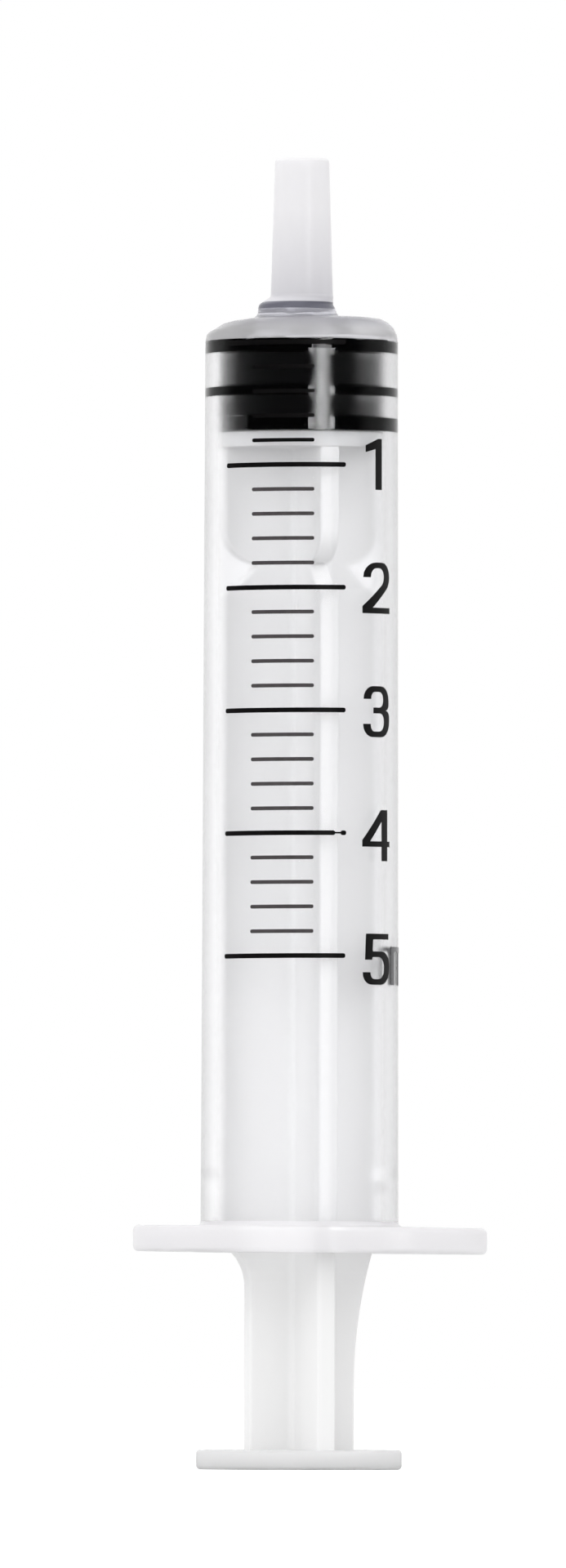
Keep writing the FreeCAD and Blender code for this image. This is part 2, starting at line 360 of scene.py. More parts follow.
@dataclass(frozen=True)
class NaturalPolypropylene(Finish):
    """Natural polypropylene, injection moulded in thick ribs.

    It gives the eye a milky white with soft edges, because light goes a few millimetres into it,
    and a satin skin. The solid thumb rest lets less light through than the ribs. The thin disc
    under the gasket has a greyer colour: painted shade for the black gasket next to it.
    """

    name: str = "natural_polypropylene"
    colour: str = "#F7F7F7"
    shade: str = "#F3F2F3"
    ior: float = 1.49
    roughness: float = 0.5
    clear_share: float = 0.38
    specular_level: float = 0.2
    scatter_mm: float = 3.0
    cloud_mm: float = 8.0
    grain_mm: float = 0.35
    grain_depth_mm: float = 0.008

    def surface(self, tree: Tree, place: Socket) -> bpy.types.Node:
        """Adds the shader, with slow changes of tone and a satin grain.

        Args:
            tree: The material's nodes.
            place: The piece's coordinates.

        Returns:
            The shader node.
        """
        tone, _ = clouded(tree, place, self.cloud_mm, 2.0, (self.colour, self.shade))
        grain = add_node(tree, "ShaderNodeTexNoise", inputs={
            "Vector": place, "Scale": 1 / (self.grain_mm * MM), "Detail": 3.0,
        })
        bump = add_node(tree, "ShaderNodeBump", inputs={
            "Strength": 0.3,
            "Distance": self.grain_depth_mm * MM,
            "Height": grain.outputs["Fac"],
        })
        return add_node(tree, "ShaderNodeBsdfPrincipled", inputs={
            "Base Color": tone,
            "Roughness": self.roughness,
            "IOR": self.ior,
            "Transmission Weight": self.clear_share,
            "Specular IOR Level": self.specular_level,
            "Subsurface Weight": 1.0,
            "Subsurface Scale": self.scatter_mm * MM,
            "Subsurface Radius": (1.0, 0.98, 0.96),
            "Normal": bump.outputs["Normal"],
        })


@dataclass(frozen=True)
class ButylRubber(Finish):
    """Butyl rubber filled with carbon black, moulded and wiped with silicone oil.

    It gives the eye a deep black with a faint cloudy bloom, and in the grooves an oily gloss that
    turns grey towards the sides. Where a rib presses on the wall, the oil leaves no air between
    the two, so there the rubber has no gloss of its own.
    """

    name: str = "oiled_butyl_rubber"
    colour: str = "#020203"
    bloom: str = "#060606"
    ior: float = 1.52
    specular_level: float = 1.0
    roughness: float = 0.15
    smoother: float = 0.06
    rougher: float = 0.08
    bloom_mm: float = 1.5

    def surface(self, tree: Tree, place: Socket) -> bpy.types.Node:
        """Adds the shader, with the bloom in its colour and in its sheen.

        Args:
            tree: The material's nodes.
            place: The piece's coordinates.

        Returns:
            The shader node.
        """
        tone, clouds = clouded(tree, place, self.bloom_mm, 4.0, (self.colour, self.bloom))
        sheen = add_node(tree, "ShaderNodeMapRange", inputs={
            "Value": clouds,
            "To Min": self.roughness - self.smoother,
            "To Max": self.roughness + self.rougher,
        })
        return add_node(tree, "ShaderNodeBsdfPrincipled", inputs={
            "Base Color": tone,
            "Roughness": sheen.outputs["Result"],
            "IOR": self.ior,
            "Specular IOR Level": self.specular_level,
        })


@dataclass(frozen=True)
class ScreenInk(Finish):
    """Black screen-printing ink, laid as a thin matt film that is a little uneven.

    It gives the eye a flat black. The short marks are a thinner, greyer film. The unit at the
    print's end is glossy, so that it turns grey where it goes round the tube's edge, and its ink is
    also painted a lighter grey: painted sheen.
    """

    name: str = "black_screen_ink"
    colour: str = "#060607"
    thin: str = "#141213"
    roughness: float = 0.38
    specular_level: float = 0.15
    patch_mm: float = 0.5

    def surface(self, tree: Tree, place: Socket) -> bpy.types.Node:
        """Adds the shader, slightly greyer where the film is thin.

        Args:
            tree: The material's nodes.
            place: The piece's coordinates.

        Returns:
            The shader node.
        """
        tone, _ = clouded(tree, place, self.patch_mm, 3.0, (self.colour, self.thin))
        return add_node(tree, "ShaderNodeBsdfPrincipled", inputs={
            "Base Color": tone,
            "Roughness": self.roughness,
            "Specular IOR Level": self.specular_level,
        })


def ramp(value: float, zero: float, one: float) -> float:
    """Gives 0 at one value and 1 at another, straight between them and flat beyond.

    Args:
        value: Where to read the ramp.
        zero: Where it is 0.
        one: Where it is 1.

    Returns:
        A share from 0 to 1.
    """
    return min(1.0, max(0.0, (value - zero) / (one - zero)))


def radius_of(point: Vector) -> float:
    """Gives a point's distance from the Z axis, in millimetres."""
    return math.hypot(point.x, point.y) / MM


def round_off(
    mesh: Mesh, corners: Sequence[bmesh.types.BMVert], rounding: float, segments: int,
) -> None:
    """Rounds corners of a flat outline or face.

    Args:
        mesh: The mesh.
        corners: The corners.
        rounding: Offset from each corner, in millimetres.
        segments: Edges in each rounding.
    """
    bmesh.ops.bevel(
        mesh, geom=corners, offset=rounding * MM, offset_type="OFFSET",
        segments=segments, profile=0.5, affect="VERTICES", material=-1,
    )


def draw_outline(mesh: Mesh, corners: Sequence[Corner], closed: bool) -> None:
    """Draws corners as a chain of edges in the XZ plane.

    Args:
        mesh: The mesh that gets the chain.
        corners: Corners in millimetres, in order.
        closed: Whether the last corner joins the first.
    """
    points = [mesh.verts.new((across * MM, 0, z * MM)) for across, z, _ in corners]
    pairs = list(zip(points, points[1:]))
    if closed:
        pairs.append((points[-1], points[0]))
    for pair in pairs:
        mesh.edges.new(pair)
    for point, (_, _, rounding) in zip(points, corners):
        if rounding:
            round_off(mesh, [point], rounding, ROUNDING_STEPS)


def extrude(
    mesh: Mesh, faces: Sequence[bmesh.types.BMFace], offset: tuple[float, float, float],
) -> list[bmesh.types.BMFace]:
    """Extrudes faces and moves the new ones.

    Args:
        mesh: The mesh.
        faces: The faces, which stay where they are.
        offset: How far the new faces move, in metres.

    Returns:
        The new faces.
    """
    made = bmesh.ops.extrude_face_region(mesh, geom=faces)["geom"]
    moved = [item for item in made if isinstance(item, bmesh.types.BMVert)]
    bmesh.ops.translate(mesh, verts=moved, vec=offset)
    return [item for item in made if isinstance(item, bmesh.types.BMFace)]


def close_up(mesh: Mesh) -> None:
    """Merges doubled points and turns all faces outwards."""
    bmesh.ops.remove_doubles(mesh, verts=mesh.verts[:], dist=WELD)
    bmesh.ops.recalc_face_normals(mesh, faces=mesh.faces[:])
    if mesh.calc_volume(signed=True) < 0:
        bmesh.ops.reverse_faces(mesh, faces=mesh.faces[:])


def turned_shell(corners: Sequence[Corner], closed: bool, steps: int) -> Mesh:
    """Spins an outline round the Z axis into a closed shell.

    Args:
        corners: The outline's corners, in millimetres.
        closed: Whether the outline is a loop; if not, it starts and ends on the axis.
        steps: Faces in one turn.

    Returns:
        The new mesh.
    """
    mesh = bmesh.new()
    draw_outline(mesh, corners, closed)
    bmesh.ops.spin(
        mesh, geom=mesh.verts[:] + mesh.edges[:], cent=(0, 0, 0), axis=(0, 0, 1),
        dvec=(0, 0, 0), angle=math.tau, steps=steps, use_merge=True, use_duplicate=False,
    )
    close_up(mesh)
    return mesh


def to_object(name: str, mesh: Mesh) -> bpy.types.Object:
    """Puts a mesh into a new object at the origin and frees it."""
    data = bpy.data.meshes.new(name)
    mesh.to_mesh(data)
    mesh.free()
    thing = bpy.data.objects.new(name, data)
    bpy.context.scene.collection.objects.link(thing)
    return thing


def united(name: str, shells: Sequence[Mesh]) -> bpy.types.Object:
    """Joins closed shells that run into each other into one moulding.

    Args:
        name: Name of the new object.
        shells: Closed meshes; the first gives the object.

    Returns:
        One object with a single closed mesh.
    """
    base = to_object(name, shells[0])
    others = [to_object(f"{name}_part", shell) for shell in shells[1:]]
    for other in others:
        union = base.modifiers.new("union", "BOOLEAN")
        union.operation = "UNION"
        union.solver = "MANIFOLD"
        union.object = other
    depsgraph = bpy.context.evaluated_depsgraph_get()
    data = bpy.data.meshes.new_from_object(base.evaluated_get(depsgraph))
    base.modifiers.clear()
    base.data = data
    data.name = name
    for other in others:
        bpy.data.objects.remove(other)
    return base


def finish_piece(
    piece: bpy.types.Object,
    body: Body,
    finishes: Sequence[Finish],
    node: str | None,
) -> None:
    """Shades a piece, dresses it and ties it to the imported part.

    Args:
        piece: The object.
        body: The body it moves with.
        finishes: Its finishes, in the order of its faces' material numbers.
        node: The CAD node that it stands for, if any.
    """
    data = piece.data
    for finish in finishes:
        data.materials.append(finish.material())
    data.shade_smooth()
    data.set_sharp_from_angle(angle=math.radians(SHARP_DEGREES))
    weighted = piece.modifiers.new("flat_faces_shade_flat", "WEIGHTED_NORMAL")
    weighted.mode = "FACE_AREA"
    weighted.keep_sharp = True
    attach(piece, body.value)
    if node:
        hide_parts(node)
    LOG.info("%s: %d faces, rides on %s", piece.name, len(data.polygons), body.value)


def barrel_finishes() -> dict[BarrelZone, ClarifiedPolypropylene]:
    """Gives each of the barrel's zones the same plastic, as it looks at that thickness, with
    painted shade on the end wall, the nozzle and the band round the nozzle's foot.
    """
    return {
        BarrelZone.WALL: ClarifiedPolypropylene(skin_tint=0.4),
        # The end wall's colour is painted darker towards the top of the shoulder: painted shade.
        BarrelZone.END: ClarifiedPolypropylene(
            name="clarified_polypropylene_end_painted_shade", colour="#F8F7FB", clear_share=0.68,
            roughness=0.2, shade="#D2D2DB", shade_range_mm=(83.4, 82.3),
        ),
        BarrelZone.THICK: ClarifiedPolypropylene(
            name="clarified_polypropylene_thick", colour="#EEEDEF", clear_share=0.28,
            roughness=0.3,
        ),
        # The nozzle's colour is painted darker towards its foot: painted shade for the black gasket
        # seen through the solid plastic.
        BarrelZone.NOZZLE: ClarifiedPolypropylene(
            name="clarified_polypropylene_nozzle_painted_shade", colour="#E6E5E7", clear_share=0.12,
            roughness=0.3, shade="#D3D2D6", shade_range_mm=(84.6, 91.0),
        ),
        # A dark grey band round the nozzle's foot: painted shade.
        BarrelZone.FOOT: ClarifiedPolypropylene(
            name="clarified_polypropylene_painted_foot_shade", colour="#70707C", clear_share=0.3,
            roughness=0.3,
        ),
        BarrelZone.BORE: ClarifiedPolypropylene(
            name="clarified_polypropylene_oiled", skin_tint=0.0,
        ),
    }


@dataclass
class Barrel:
    """The barrel: tube, finger flange, shoulder, hub and luer nozzle in one clear moulding."""

    bore_end: float = 81.75
    end_cone_rise: float = 0.5
    lead_in: float = 0.35
    ring_height: float = 0.05
    ring_levels: tuple[float, float, float, float] = (20.0, 20.6, 21.0, 21.6)
    tube_at_flange: float = 7.14
    tube_at_shoulder: float = 6.96
    shoulder_rounding: float = 1.7
    shoulder_fall: float = 0.5
    shoulder_fall_full: float = 6.3
    shoulder_fall_end: tuple[float, float] = (6.93, 6.43)
    flange_bottom: float = 15.65
    flange_left: float = 12.1
    flange_right: float = 13.65
    flange_half_depth: float = 8.2
    flange_rounding: float = 0.4
    flange_slope: float = 0.0085
    drawn_flange: float = 10.0
    drawn_margins: tuple[float, float] = (0.4, 0.5)
    hub_bottom_radius: float = 2.96
    hub_middle: tuple[float, float] = (2.8, 83.86)
    hub_top: float = 84.2
    hub_top_radius: float = 2.68
    hub_reach: float = 3.4
    hub_root: float = 0.3
    hub_lean: float = -0.42
    hub_foot_hold: float = 0.35
    channel_wall: float = 0.6
    shaped_depth: float = 2.2
    nozzle_bottom: float = 84.75
    overall: float = 94.75
    tip_radius: float = 1.9525
    taper: float = 0.03
    channel: float = 0.9
    steps: int = 192
    bore_zone_margins: tuple[float, float] = (0.1, 0.05)
    foot_zone_rise: float = 0.15
    thick_zone_rise: float = 0.4
    end_zone_depth: float = 0.2
    finishes: dict[BarrelZone, ClarifiedPolypropylene] = field(default_factory=barrel_finishes)

    def tube_radius(self, z: float) -> float:
        """Gives the outside radius of the drafted tube at a height, in millimetres."""
        share = (z - FLANGE_TOP) / (SHOULDER_TOP - FLANGE_TOP)
        return self.tube_at_flange + share * (self.tube_at_shoulder - self.tube_at_flange)

    def outline(self) -> list[Corner]:
        """Gives the loop from the nozzle's tip down the outside and back up through the bore."""
        nozzle_base = self.tip_radius + (self.overall - self.nozzle_bottom) * self.taper
        ring = BORE_RADIUS - self.ring_height
        ring_foot, ring_low, ring_high, ring_end = self.ring_levels
        return [
            (self.channel, self.overall, 0.12),
            (self.tip_radius, self.overall, 0.25),
            (nozzle_base, self.nozzle_bottom, 0.2),
            (self.hub_top_radius, self.hub_top, 0.2),
            (*self.hub_middle, 0),
            (self.hub_bottom_radius, SHOULDER_TOP, 0.42),
            (self.tube_at_shoulder, SHOULDER_TOP, self.shoulder_rounding),
            (self.tube_at_flange, FLANGE_TOP, 0.35),
            (self.drawn_flange, FLANGE_TOP, self.flange_rounding),
            (self.drawn_flange, self.flange_bottom, self.flange_rounding),
            (BORE_RADIUS + self.lead_in, self.flange_bottom, 0.1),
            (BORE_RADIUS, self.flange_bottom + self.lead_in, 0.1),
            (BORE_RADIUS, ring_foot, 0.25),
            (ring, ring_low, 0.2),
            (ring, ring_high, 0.2),
            (BORE_RADIUS, ring_end, 0.25),
            (BORE_RADIUS, self.bore_end, 0.25),
            (self.channel, self.bore_end + self.end_cone_rise, 0.15),
        ]

    def flange_reach(self, angle: float) -> float:
        """Gives the distance from the axis to the oval flange's edge in one direction.

        Args:
            angle: Direction in radians, from +X.

        Returns:
            The distance in millimetres.
        """
        depth = self.flange_half_depth
        side = abs(math.sin(angle))
        if side > 1e-6:
            straight = depth / side
            across = straight * math.cos(angle)
            if depth - self.flange_left <= across <= self.flange_right - depth:
                return straight
        centre = self.flange_right - depth if math.cos(angle) > 0 else depth - self.flange_left
        return centre * math.cos(angle) + math.sqrt(depth ** 2 - (centre * side) ** 2)

    def shape_flange(self, mesh: Mesh) -> None:
        """Moves the round rim out to the oval edge and lets the plate dip a little to the right."""
        inner = self.tube_at_flange + self.drawn_margins[0]
        outer = self.drawn_flange - self.drawn_margins[1]
        for vert in mesh.verts:
            radius = radius_of(vert.co)
            if radius <= inner:
                continue
            angle = math.atan2(vert.co.y, vert.co.x)
            share = ramp(radius, inner, outer)
            moved = radius + share * (self.flange_reach(angle) - self.drawn_flange)
            vert.co.x = moved * math.cos(angle) * MM
            vert.co.y = moved * math.sin(angle) * MM
            vert.co.z -= self.flange_slope * vert.co.x * share

    def shape_hub(self, mesh: Mesh) -> None:
        """Leans the hub to the left, and lets the shoulder fall away on that side."""
        inside, bottom = self.channel + self.channel_wall, SHOULDER_TOP - self.shaped_depth
        for vert in mesh.verts:
            radius = radius_of(vert.co)
            height = vert.co.z / MM
            if radius < inside or height < bottom:
                continue
            if height > SHOULDER_TOP - self.hub_root and radius < self.hub_reach:
                top = ramp(height, self.nozzle_bottom, self.hub_top)
                hold = self.hub_foot_hold * ramp(height, self.hub_top, self.hub_top - 1)
                vert.co.x += self.hub_lean * top * (1 - hold) * MM
            elif radius >= self.hub_reach:
                left = 0.5 - 0.5 * vert.co.x / MM / radius
                fall = ramp(radius, self.hub_reach, self.shoulder_fall_full)
                fall *= ramp(radius, *self.shoulder_fall_end)
                vert.co.z -= self.shoulder_fall * fall * left ** 2 * MM

    def mark_zones(self, mesh: Mesh) -> None:
        """Gives the oiled bore, the end wall, the thick places and the nozzle's foot their zones.

        Round the nozzle's foot a dark grey band is painted on: painted shade for the black gasket
        seen through the solid hub.
        """
        aside, above = self.bore_zone_margins
        cone_top = self.bore_end + self.end_cone_rise + above
        for face in mesh.faces:
            middle = face.calc_center_median() / MM
            radius = math.hypot(middle.x, middle.y)
            in_bore = radius < BORE_RADIUS + aside and middle.z < cone_top
            if radius < self.channel + aside or in_bore:
                face.material_index = BarrelZone.BORE
            # Painted shade: the dark band round the nozzle's foot.
            elif self.hub_middle[1] < middle.z < self.hub_top + self.foot_zone_rise:
                face.material_index = BarrelZone.FOOT
            elif middle.z > self.hub_top:
                face.material_index = BarrelZone.NOZZLE
            elif middle.z < FLANGE_TOP + self.thick_zone_rise:
                face.material_index = BarrelZone.THICK
            elif middle.z > self.bore_end - self.end_zone_depth:
                face.material_index = BarrelZone.END

    def build(self) -> None:
        """Builds and dresses the barrel."""
        mesh = turned_shell(self.outline(), closed=True, steps=self.steps)
        self.shape_flange(mesh)
        self.shape_hub(mesh)
        self.mark_zones(mesh)
        piece = to_object("barrel_moulding", mesh)
        finishes = [self.finishes[zone] for zone in BarrelZone]
        finish_piece(piece, Body.BARREL, finishes, "barrel")


@dataclass(frozen=True)
class SnapHead:
    """The rod's neck and head, and with a gap round it the cavity that it snaps into."""

    neck_radius: float = 2.1
    neck_top: float = 76.35
    radius: float = 2.9
    bottom: float = 76.75
    shoulder: float = 77.35
    tip_radius: float = 1.6
    top: float = 79.7
    gap: float = 0.05

    def outline(self, gap: float, roundings: Sequence[float]) -> list[Corner]:
        """Gives the corners from the top of the neck to the middle of the head's tip.

        Args:
            gap: How far outside the head the corners are.
            roundings: Roundings of the neck's top, of the widest place's two edges and of the tip.

        Returns:
            The corners, in millimetres.
        """
        places = [
            (self.neck_radius + gap, self.neck_top - gap),
            (self.radius + gap, self.bottom - gap),
            (self.radius + gap, self.shoulder + gap),
            (self.tip_radius + gap, self.top + gap),
            (0, self.top + gap),
        ]
        return [(*place, rounding) for place, rounding in zip(places, (*roundings, 0))]


@dataclass
class Gasket:
    """The rubber gasket, with three sealing ribs and a cavity for the rod's head.

    The ribs press a few hundredths into the wall, as squeezed rubber does, so that they show
    black out to the tube's edge.
    """

    head: SnapHead
    back: float = 74.9
    front: float = 81.7
    cone_rise: float = 0.5
    flat_front: float = 0.9
    lip: float = 6.02
    waist: float = 5.93
    rear_rib: float = 0.95
    rear_flank: float = 0.35
    front_rib: float = 1.0
    front_flank: float = 0.4
    middle_rib: float = 77.8
    middle_half_width: float = 0.24
    middle_flanks: tuple[float, float] = (0.65, 0.6)
    edge_start: float = 5.0
    edge_depth: float = 0.4
    edge_wave: float = 0.16
    edge_waves: tuple[tuple[float, float, float], ...] = ((0.28, 9, 1), (0.22, 23, 4))
    rear_lift: float = 0.02
    rear_lift_rise: float = 0.1
    rear_lift_range: tuple[float, float] = (0.42, 0.54)
    slack_degrees: float = -65.0
    slack_range: tuple[float, float] = (10.0, 8.0)
    slack_below: float = 0.5
    press_margin: float = 0.02
    steps: int = 160
    finish: ButylRubber = field(default_factory=ButylRubber)
    pressed_finish: ButylRubber = field(default_factory=lambda: ButylRubber(
        name="butyl_rubber_pressed_on_wall", specular_level=0.0, roughness=0.34,
    ))

    def outline(self) -> list[Corner]:
        """Gives the half section, from the middle of the front to the top of the cavity."""
        neck = self.head.neck_radius + self.head.gap
        middle, half = self.middle_rib, self.middle_half_width
        above, below = self.middle_flanks
        return [
            (0, self.front + self.cone_rise, 0),
            (self.flat_front, self.front + self.cone_rise, 0.1),
            (self.lip, self.front, 0.1),
            (self.lip, self.front - self.front_rib, 0.1),
            (self.waist, self.front - self.front_rib - self.front_flank, 0.3),
            (self.waist, middle + above, 0.3),
            (self.lip, middle + half, 0.08),
            (self.lip, middle - half, 0.08),
            (self.waist, middle - below, 0.3),
            (self.waist, self.back + self.rear_rib + self.rear_flank, 0.3),
            (self.lip, self.back + self.rear_rib, 0.1),
            (self.lip, self.back, 0.1),
            (neck, self.back, 0.08),
            *self.head.outline(self.head.gap, (0, 0, 0.1, 0.1)),
        ]

    def press_ribs(self, mesh: Mesh) -> None:
        """Makes the front rib's edge uneven, and marks where the ribs press on the wall.

        The rear rib just lifts off the wall on the left. Below the front edge, all ribs are slack
        in one narrow place to the right of the marks, so that the grooves' gloss runs on there.
        """
        edge_bottom = (self.front - self.edge_depth) * MM
        rear_top = (self.back + self.rear_rib + self.rear_lift_rise) * MM
        slack_top = (self.front - self.slack_below) * MM
        for vert in mesh.verts:
            turn = math.atan2(vert.co.y, vert.co.x)
            edge = ramp(radius_of(vert.co), self.edge_start, self.edge_start + 1)
            if vert.co.z > edge_bottom:
                wave = 1.0
                for size, count, start in self.edge_waves:
                    wave += size * math.sin(count * turn + start)
                vert.co.z -= self.edge_wave * wave * edge * MM
            elif vert.co.z < rear_top:
                lift = ramp(-math.cos(turn), *self.rear_lift_range)
                vert.co.xy *= 1 - self.rear_lift * lift * edge
            radius = radius_of(vert.co)
            if vert.co.z < slack_top and radius > self.waist:
                aside = abs(math.degrees(turn) - self.slack_degrees)
                slack = ramp(aside, *self.slack_range)
                vert.co.xy *= 1 - slack * (1 - self.waist / radius)
        for face in mesh.faces:
            if radius_of(face.calc_center_median()) > BORE_RADIUS - self.press_margin:
                face.material_index = GasketZone.PRESSED

    def build(self) -> None:
        """Builds and dresses the gasket."""
        mesh = turned_shell(self.outline(), closed=False, steps=self.steps)
        self.press_ribs(mesh)
        piece = to_object("gasket_moulding", mesh)
        finishes = [self.finish, self.pressed_finish]
        finish_piece(piece, Body.GASKET, finishes, "gasket")


@dataclass
class PlungerRod:
    """The plunger rod: thumb rest, four ribs, front disc and snap-in head in one moulding."""

    head: SnapHead
    turn_degrees: float = 31.4
    rib_thickness: float = 1.4
    rib_reach: float = 5.798
    root_rounding: float = 0.5
    tip_rounding: float = 0.22
    tip_depth: float = 0.5
    stem_half_width: float = 4.03
    left_arc: tuple[float, float] = (13.13, 3.6)
    left_arc_height: float = 3.1
    right_arc: tuple[float, float] = (6.05, 34.2)
    right_arc_height: float = 10.85
    notch: tuple[float, float] = (63.7, 65.35)
    notch_half_width: float = 3.4
    notch_roundings: tuple[float, float] = (0.9, 2.4)
    notch_step: float = 0.001
    notch_margin: float = 0.01
    curve_levels: int = 12
    foot: float = 0.71
    ribs_top: float = 74.2
    rest_radius: float = 7.43
    rest_thickness: float = 1.42
    groove_radii: tuple[float, ...] = (2.2, 3.9, 5.6)
    groove_half_widths: tuple[float, float] = (0.35, 0.25)
    groove_depth: float = 0.25
    disc_bottom: float = 73.7
    disc_top: float = 74.85
    disc_radius: float = 5.95
    turned_steps: int = 128
    finish: NaturalPolypropylene = field(default_factory=NaturalPolypropylene)
    rest_finish: NaturalPolypropylene = field(default_factory=lambda: NaturalPolypropylene(
        name="natural_polypropylene_thick", colour="#FAFAFA", shade="#F7F6F7", clear_share=0.1,
    ))
    # A greyer copy of the plastic for the disc: painted shade from the black gasket.
    disc_finish: NaturalPolypropylene = field(default_factory=lambda: NaturalPolypropylene(
        name="natural_polypropylene_painted_gasket_shade", colour="#D6D4DA", shade="#CFCDD4",
    ))

    def reach(self, rib: Rib, z: float) -> float:
        """Gives how far one rib stands out from the axis at a height.

        Args:
            rib: Which rib.
            z: Height in millimetres.

        Returns:
            The reach in millimetres.
        """
        full = self.rib_reach
        low, high = self.notch
        under, over = self.notch_roundings
        if low <= z <= high:
            return self.notch_half_width
        if low - under < z < low:
            return full - under + math.sqrt(under ** 2 - (z - low + under) ** 2)
        if high < z < high + over:
            return full - over + math.sqrt(over ** 2 - (high + over - z) ** 2)
        if rib in (Rib.BACK, Rib.FRONT):
            return full
        start, radius = self.left_arc if rib is Rib.LEFT else self.right_arc
        if z <= start:
            return self.stem_half_width
        rise = min(z - start, radius)
        return min(full, self.stem_half_width + radius - math.sqrt(radius ** 2 - rise ** 2))

    def levels(self) -> list[float]:
        """Gives the heights at which the section is set, closer where a rib's edge curves."""
        low, high = self.notch
        under, over = self.notch_roundings
        step, margin = self.notch_step, self.notch_margin
        heights = {self.foot, low - step, low, high, high + step, self.ribs_top}
        for number in range(self.curve_levels + 1):
            share = number / self.curve_levels
            heights.add(self.right_arc[0] + share * self.right_arc_height)
            heights.add(self.left_arc[0] + share * self.left_arc_height)
            heights.add(low - under + share * (under - margin))
            heights.add(high + margin + share * (over - margin))
        return sorted(heights)

    def section(self, mesh: Mesh) -> list[bmesh.types.BMFace]:
        """Draws the plus-shaped section flat at the foot, with rounded roots and tips.

        Args:
            mesh: The empty mesh that gets the section.

        Returns:
            The section's one face.
        """
        half, full = self.rib_thickness / 2, self.rib_reach
        inner = [(half, half), (-half, half), (-half, -half), (half, -half)]
        tips = [
            [(half, full), (-half, full)], [(-full, half), (-full, -half)],
            [(-half, -full), (half, -full)], [(full, -half), (full, half)],
        ]
        roots, ends, ring = [], [], []
        for corner, tip in zip(inner, tips):
            roots.append(mesh.verts.new((corner[0] * MM, corner[1] * MM, self.foot * MM)))
            ends += [mesh.verts.new((x * MM, y * MM, self.foot * MM)) for x, y in tip]
            ring += [roots[-1], *ends[-2:]]
        mesh.faces.new(ring)
        round_off(mesh, roots, self.root_rounding, 5)
        round_off(mesh, ends, self.tip_rounding, 3)
        return mesh.faces[:]

    def ribs(self) -> Mesh:
        """Makes the ribs: the section is extruded level by level, then its tips are moved."""
        mesh = bmesh.new()
        cap = self.section(mesh)
        heights = self.levels()
        for below, above in zip(heights, heights[1:]):
            top = extrude(mesh, cap, (0, 0, (above - below) * MM))
            if below > self.foot:
                bmesh.ops.delete(mesh, geom=cap, context="FACES_ONLY")
            cap = top
        full = self.rib_reach
        for vert in mesh.verts:
            for rib in Rib:
                along = vert.co.x * rib.value[0] + vert.co.y * rib.value[1]
                if along > (full - self.tip_depth) * MM:
                    shift = (self.reach(rib, vert.co.z / MM) - full) * MM
                    vert.co.x += rib.value[0] * shift
                    vert.co.y += rib.value[1] * shift
        close_up(mesh)
        return mesh

    def thumb_rest(self) -> Mesh:
        """Makes the round thumb rest, with grip grooves in its outer face."""
        wide, narrow = self.groove_half_widths
        corners: list[Corner] = [(0, 0, 0)]
        for radius in self.groove_radii:
            corners += [
                (radius - wide, 0, 0.08), (radius - narrow, self.groove_depth, 0.08),
                (radius + narrow, self.groove_depth, 0.08), (radius + wide, 0, 0.08),
            ]
        corners += [
            (self.rest_radius, 0, 0.3),
            (self.rest_radius, self.rest_thickness, 0.25),
            (0, self.rest_thickness, 0),
        ]
        return turned_shell(corners, closed=False, steps=self.turned_steps)

    def front_end(self) -> Mesh:
        """Makes the front disc, the neck and the head that snaps into the gasket."""
        return turned_shell([
            (0, self.disc_bottom, 0),
            (self.disc_radius, self.disc_bottom, 0.15),
            (self.disc_radius, self.disc_top, 0.15),
            (self.head.neck_radius, self.disc_top, 0.1),
            *self.head.outline(0, (0.1, 0.1, 0.2, 0.3)),
        ], closed=False, steps=self.turned_steps)

    def build(self) -> None:
        """Builds, unites, turns and dresses the rod."""
        piece = united("plunger_rod_moulding", [self.ribs(), self.thumb_rest(), self.front_end()])
        piece.data.transform(Matrix.Rotation(math.radians(self.turn_degrees), 4, "Z"))
        # Faces above the disc's bottom get the greyer copy of the plastic: painted shade from the
        # black gasket next to it.
        for face in piece.data.polygons:
            if face.center.z > (self.disc_bottom + 0.05) * MM:
                face.material_index = RodZone.DISC
            elif face.center.z < self.rest_thickness * MM:
                face.material_index = RodZone.REST
        finishes = [self.finish, self.rest_finish, self.disc_finish]
        finish_piece(piece, Body.PLUNGER, finishes, "plunger_rod")


